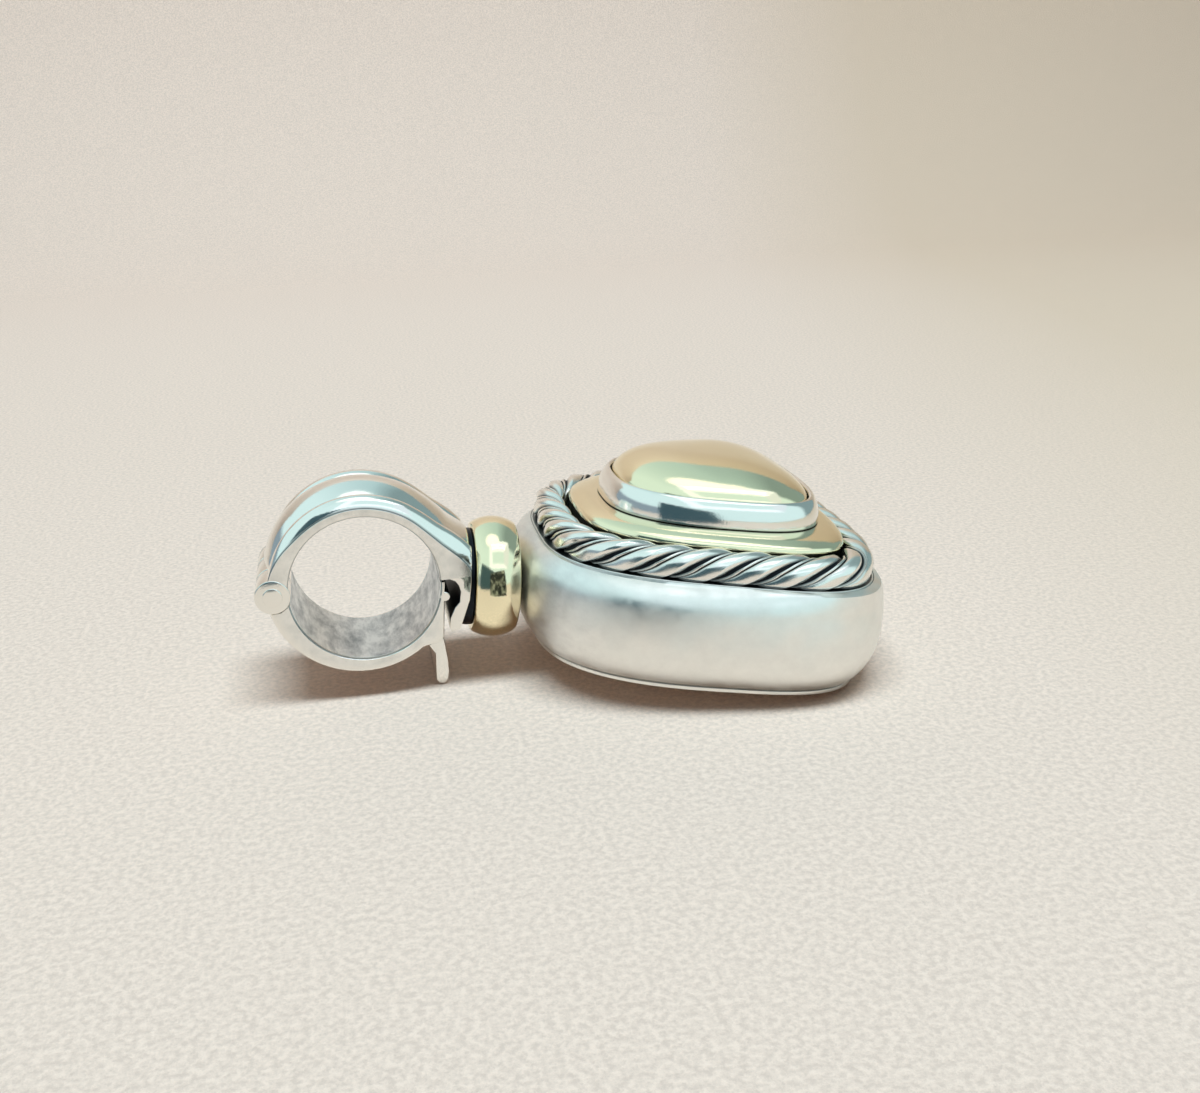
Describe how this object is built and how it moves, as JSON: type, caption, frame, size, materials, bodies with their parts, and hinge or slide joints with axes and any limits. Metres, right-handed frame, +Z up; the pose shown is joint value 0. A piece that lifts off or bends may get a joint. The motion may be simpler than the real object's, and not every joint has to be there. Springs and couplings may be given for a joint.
{
  "type": "pendant enhancer",
  "caption": "Domed two-metal pendant with a rope border, a bead neck and a wide hinged clip-on bail, lying on its back.",
  "frame": {"origin": "centre of the jewel's outline on the ground it lies on", "axes": "+X from the bail to the pendant's far edge, +Y along the bail's bore, +Z up"},
  "size_m": [0.0384, 0.0252, 0.0132],
  "materials": {
    "satin_silver": "satin",
    "polished_silver": "polished",
    "oxidised_silver": "oxidised, raised parts polished",
    "yellow_gold": "polished"
  },
  "bodies": {
    "pendant": {"case": "satin_silver", "back_plate": "satin_silver", "rope_border": "oxidised_silver", "gold_tier": "yellow_gold", "bezel": "polished_silver", "gold_dome": "yellow_gold", "neck_bead": "yellow_gold", "bail_arch": "polished_silver", "hinge_pin": "polished_silver"},
    "bail_gate": {"gate": "polished_silver"}
  },
  "joints": [
    {"name": "gate_hinge", "type": "hinge", "parent": "pendant", "child": "bail_gate", "pos_m": [-0.01817, 0, 0.00721], "axis": [0, 1, 0], "range_deg": [0, 50]}
  ]
}
